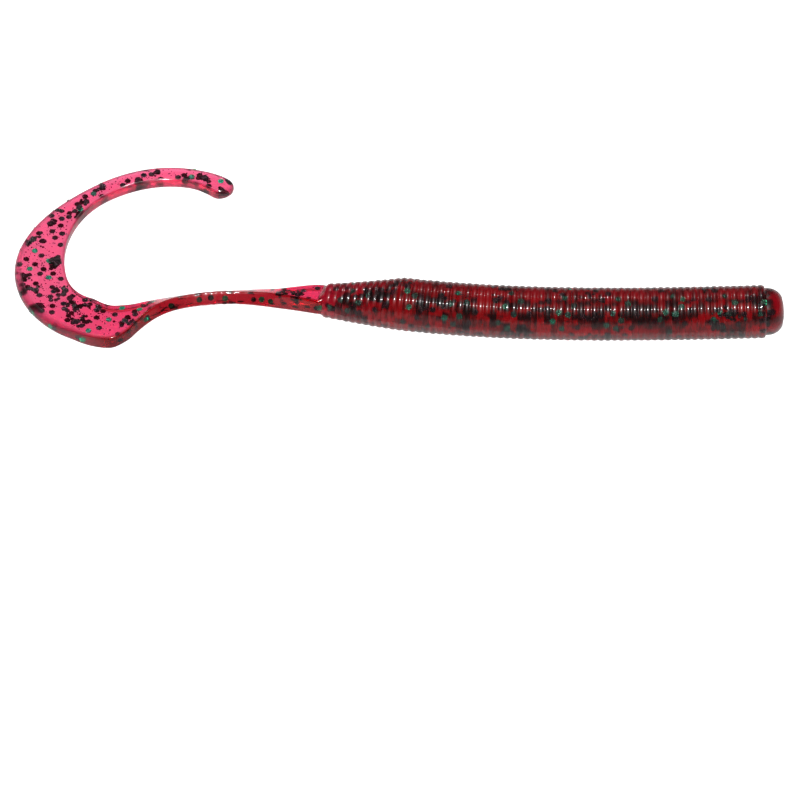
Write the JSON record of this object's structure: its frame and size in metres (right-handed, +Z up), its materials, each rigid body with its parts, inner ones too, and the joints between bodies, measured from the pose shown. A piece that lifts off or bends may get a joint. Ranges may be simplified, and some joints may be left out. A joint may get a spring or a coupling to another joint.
{
  "type": "soft plastic worm",
  "caption": "Soft plastic fishing worm with a ringed round body, a thin twisted neck and a wide curled ribbon tail, in clear red plastic with green and black flakes.",
  "frame": {"origin": "middle of the flat face on the nose, on the body's axis", "axes": "+X out of the nose along the body, so the tail is at -X; +Z up, with the body and the ribbon lying on the plane z = -4.025 mm; the curl opens towards +Y"},
  "size_m": [0.1158, 0.0383, 0.0081],
  "materials": {
    "red_plastic": "gloss",
    "green_flake": "polished",
    "black_flake": "gloss"
  },
  "bodies": {
    "nose": {"nose": "red_plastic", "nose_green_flakes": "green_flake", "nose_black_flakes": "black_flake"},
    "body_1": {"body_1": "red_plastic", "body_1_green_flakes": "green_flake", "body_1_black_flakes": "black_flake"},
    "body_2": {"body_2": "red_plastic", "body_2_green_flakes": "green_flake", "body_2_black_flakes": "black_flake"},
    "body_3": {"body_3": "red_plastic", "body_3_green_flakes": "green_flake", "body_3_black_flakes": "black_flake"},
    "body_4": {"body_4": "red_plastic", "body_4_green_flakes": "green_flake", "body_4_black_flakes": "black_flake"},
    "body_5": {"body_5": "red_plastic", "body_5_green_flakes": "green_flake", "body_5_black_flakes": "black_flake"},
    "body_6": {"body_6": "red_plastic", "body_6_green_flakes": "green_flake", "body_6_black_flakes": "black_flake"},
    "body_7": {"body_7": "red_plastic", "body_7_green_flakes": "green_flake", "body_7_black_flakes": "black_flake"},
    "body_8": {"body_8": "red_plastic", "body_8_green_flakes": "green_flake", "body_8_black_flakes": "black_flake"},
    "tail_root": {"tail_root": "red_plastic", "tail_root_green_flakes": "green_flake", "tail_root_black_flakes": "black_flake"},
    "neck_1": {"neck_1": "red_plastic", "neck_1_green_flakes": "green_flake", "neck_1_black_flakes": "black_flake"},
    "neck_2": {"neck_2": "red_plastic", "neck_2_green_flakes": "green_flake", "neck_2_black_flakes": "black_flake"},
    "heel": {"heel": "red_plastic", "heel_green_flakes": "green_flake", "heel_black_flakes": "black_flake"},
    "ribbon_1": {"ribbon_1": "red_plastic", "ribbon_1_green_flakes": "green_flake", "ribbon_1_black_flakes": "black_flake"},
    "ribbon_2": {"ribbon_2": "red_plastic", "ribbon_2_green_flakes": "green_flake", "ribbon_2_black_flakes": "black_flake"},
    "ribbon_3": {"ribbon_3": "red_plastic", "ribbon_3_green_flakes": "green_flake", "ribbon_3_black_flakes": "black_flake"},
    "ribbon_4": {"ribbon_4": "red_plastic", "ribbon_4_green_flakes": "green_flake", "ribbon_4_black_flakes": "black_flake"},
    "ribbon_5": {"ribbon_5": "red_plastic", "ribbon_5_green_flakes": "green_flake", "ribbon_5_black_flakes": "black_flake"},
    "ribbon_tip": {"ribbon_tip": "red_plastic", "ribbon_tip_green_flakes": "green_flake", "ribbon_tip_black_flakes": "black_flake"}
  },
  "joints": [
    {"name": "nose_sway", "type": "hinge", "parent": "body_1", "child": "nose", "pos_m": [-0.00485, -0.00018, 0], "axis": [0, 0, -1], "range_deg": [-10, 10], "stiffness_Nm_per_rad": 0.0003},
    {"name": "front_sway_1", "type": "hinge", "parent": "body_2", "child": "body_1", "pos_m": [-0.01285, -0.00045, 0], "axis": [0, 0, -1], "range_deg": [-10, 10], "stiffness_Nm_per_rad": 0.0025},
    {"name": "front_lift", "type": "hinge", "parent": "body_3", "child": "body_2", "pos_m": [-0.02085, -0.00062, 0], "axis": [0.0115, -0.9999, 0], "range_deg": [0, 10], "stiffness_Nm_per_rad": 0.0025},
    {"name": "front_sway_2", "type": "hinge", "parent": "body_4", "child": "body_3", "pos_m": [-0.02885, -0.00064, 0], "axis": [0, 0, -1], "range_deg": [-10, 10], "stiffness_Nm_per_rad": 0.0025},
    {"name": "rear_sway_1", "type": "hinge", "parent": "body_4", "child": "body_5", "pos_m": [-0.03685, -0.00043, 0], "axis": [0, 0, 1], "range_deg": [-10, 10], "stiffness_Nm_per_rad": 0.0025},
    {"name": "rear_lift", "type": "hinge", "parent": "body_5", "child": "body_6", "pos_m": [-0.04485, 0.00005, 0], "axis": [0.0811, 0.9967, 0], "range_deg": [0, 10], "stiffness_Nm_per_rad": 0.0025},
    {"name": "rear_sway_2", "type": "hinge", "parent": "body_6", "child": "body_7", "pos_m": [-0.05285, 0.00087, 0], "axis": [0, 0, 1], "range_deg": [-10, 10], "stiffness_Nm_per_rad": 0.0025},
    {"name": "rear_sway_3", "type": "hinge", "parent": "body_7", "child": "body_8", "pos_m": [-0.05785, 0.00158, -0.00006], "axis": [0, 0, 1], "range_deg": [-10, 10], "stiffness_Nm_per_rad": 0.001},
    {"name": "tail_root_lift", "type": "hinge", "parent": "body_8", "child": "tail_root", "pos_m": [-0.06885, 0.00377, -0.00145], "axis": [0.2344, 0.9721, 0], "range_deg": [0, 15], "stiffness_Nm_per_rad": 0.0001},
    {"name": "neck_sway", "type": "hinge", "parent": "tail_root", "child": "neck_1", "pos_m": [-0.0782, 0.00539, -0.00252], "axis": [0, 0, -1], "range_deg": [-12, 12], "stiffness_Nm_per_rad": 0.00005},
    {"name": "neck_twist", "type": "hinge", "parent": "neck_1", "child": "neck_2", "pos_m": [-0.08618, 0.00528, -0.00256], "axis": [0.829, 0.5592, 0], "range_deg": [0, 25], "stiffness_Nm_per_rad": 0.00003},
    {"name": "curl_lift", "type": "hinge", "parent": "neck_2", "child": "heel", "pos_m": [-0.0935, 0.00367, -0.00261], "axis": [0.4067, 0.9135, 0], "range_deg": [0, 20], "stiffness_Nm_per_rad": 0.00005},
    {"name": "uncurl_1", "type": "hinge", "parent": "heel", "child": "ribbon_1", "pos_m": [-0.10559, 0.0013, -0.00293], "axis": [0, 0, 1], "range_deg": [-2, 7], "stiffness_Nm_per_rad": 0.00015},
    {"name": "uncurl_2", "type": "hinge", "parent": "ribbon_1", "child": "ribbon_2", "pos_m": [-0.11118, 0.00763, -0.00313], "axis": [0, 0, 1], "range_deg": [-3, 10.5]},
    {"name": "uncurl_3", "type": "hinge", "parent": "ribbon_2", "child": "ribbon_3", "pos_m": [-0.11136, 0.01622, -0.00315], "axis": [0, 0, 1], "range_deg": [-4, 14]},
    {"name": "uncurl_4", "type": "hinge", "parent": "ribbon_3", "child": "ribbon_4", "pos_m": [-0.10749, 0.02395, -0.00315], "axis": [0, 0, 1], "range_deg": [-5, 17.5]},
    {"name": "uncurl_5", "type": "hinge", "parent": "ribbon_4", "child": "ribbon_5", "pos_m": [-0.10093, 0.0296, -0.00315], "axis": [0, 0, 1], "range_deg": [-6, 21]},
    {"name": "uncurl_6", "type": "hinge", "parent": "ribbon_5", "child": "ribbon_tip", "pos_m": [-0.09265, 0.03202, -0.00315], "axis": [0, 0, 1], "range_deg": [-6, 21]}
  ],
  "couplings": [
    {"joint": "uncurl_2", "follows": "uncurl_1", "ratio": 1.5},
    {"joint": "uncurl_3", "follows": "uncurl_1", "ratio": 2},
    {"joint": "uncurl_4", "follows": "uncurl_1", "ratio": 2.5},
    {"joint": "uncurl_5", "follows": "uncurl_1", "ratio": 3},
    {"joint": "uncurl_6", "follows": "uncurl_1", "ratio": 3}
  ]
}
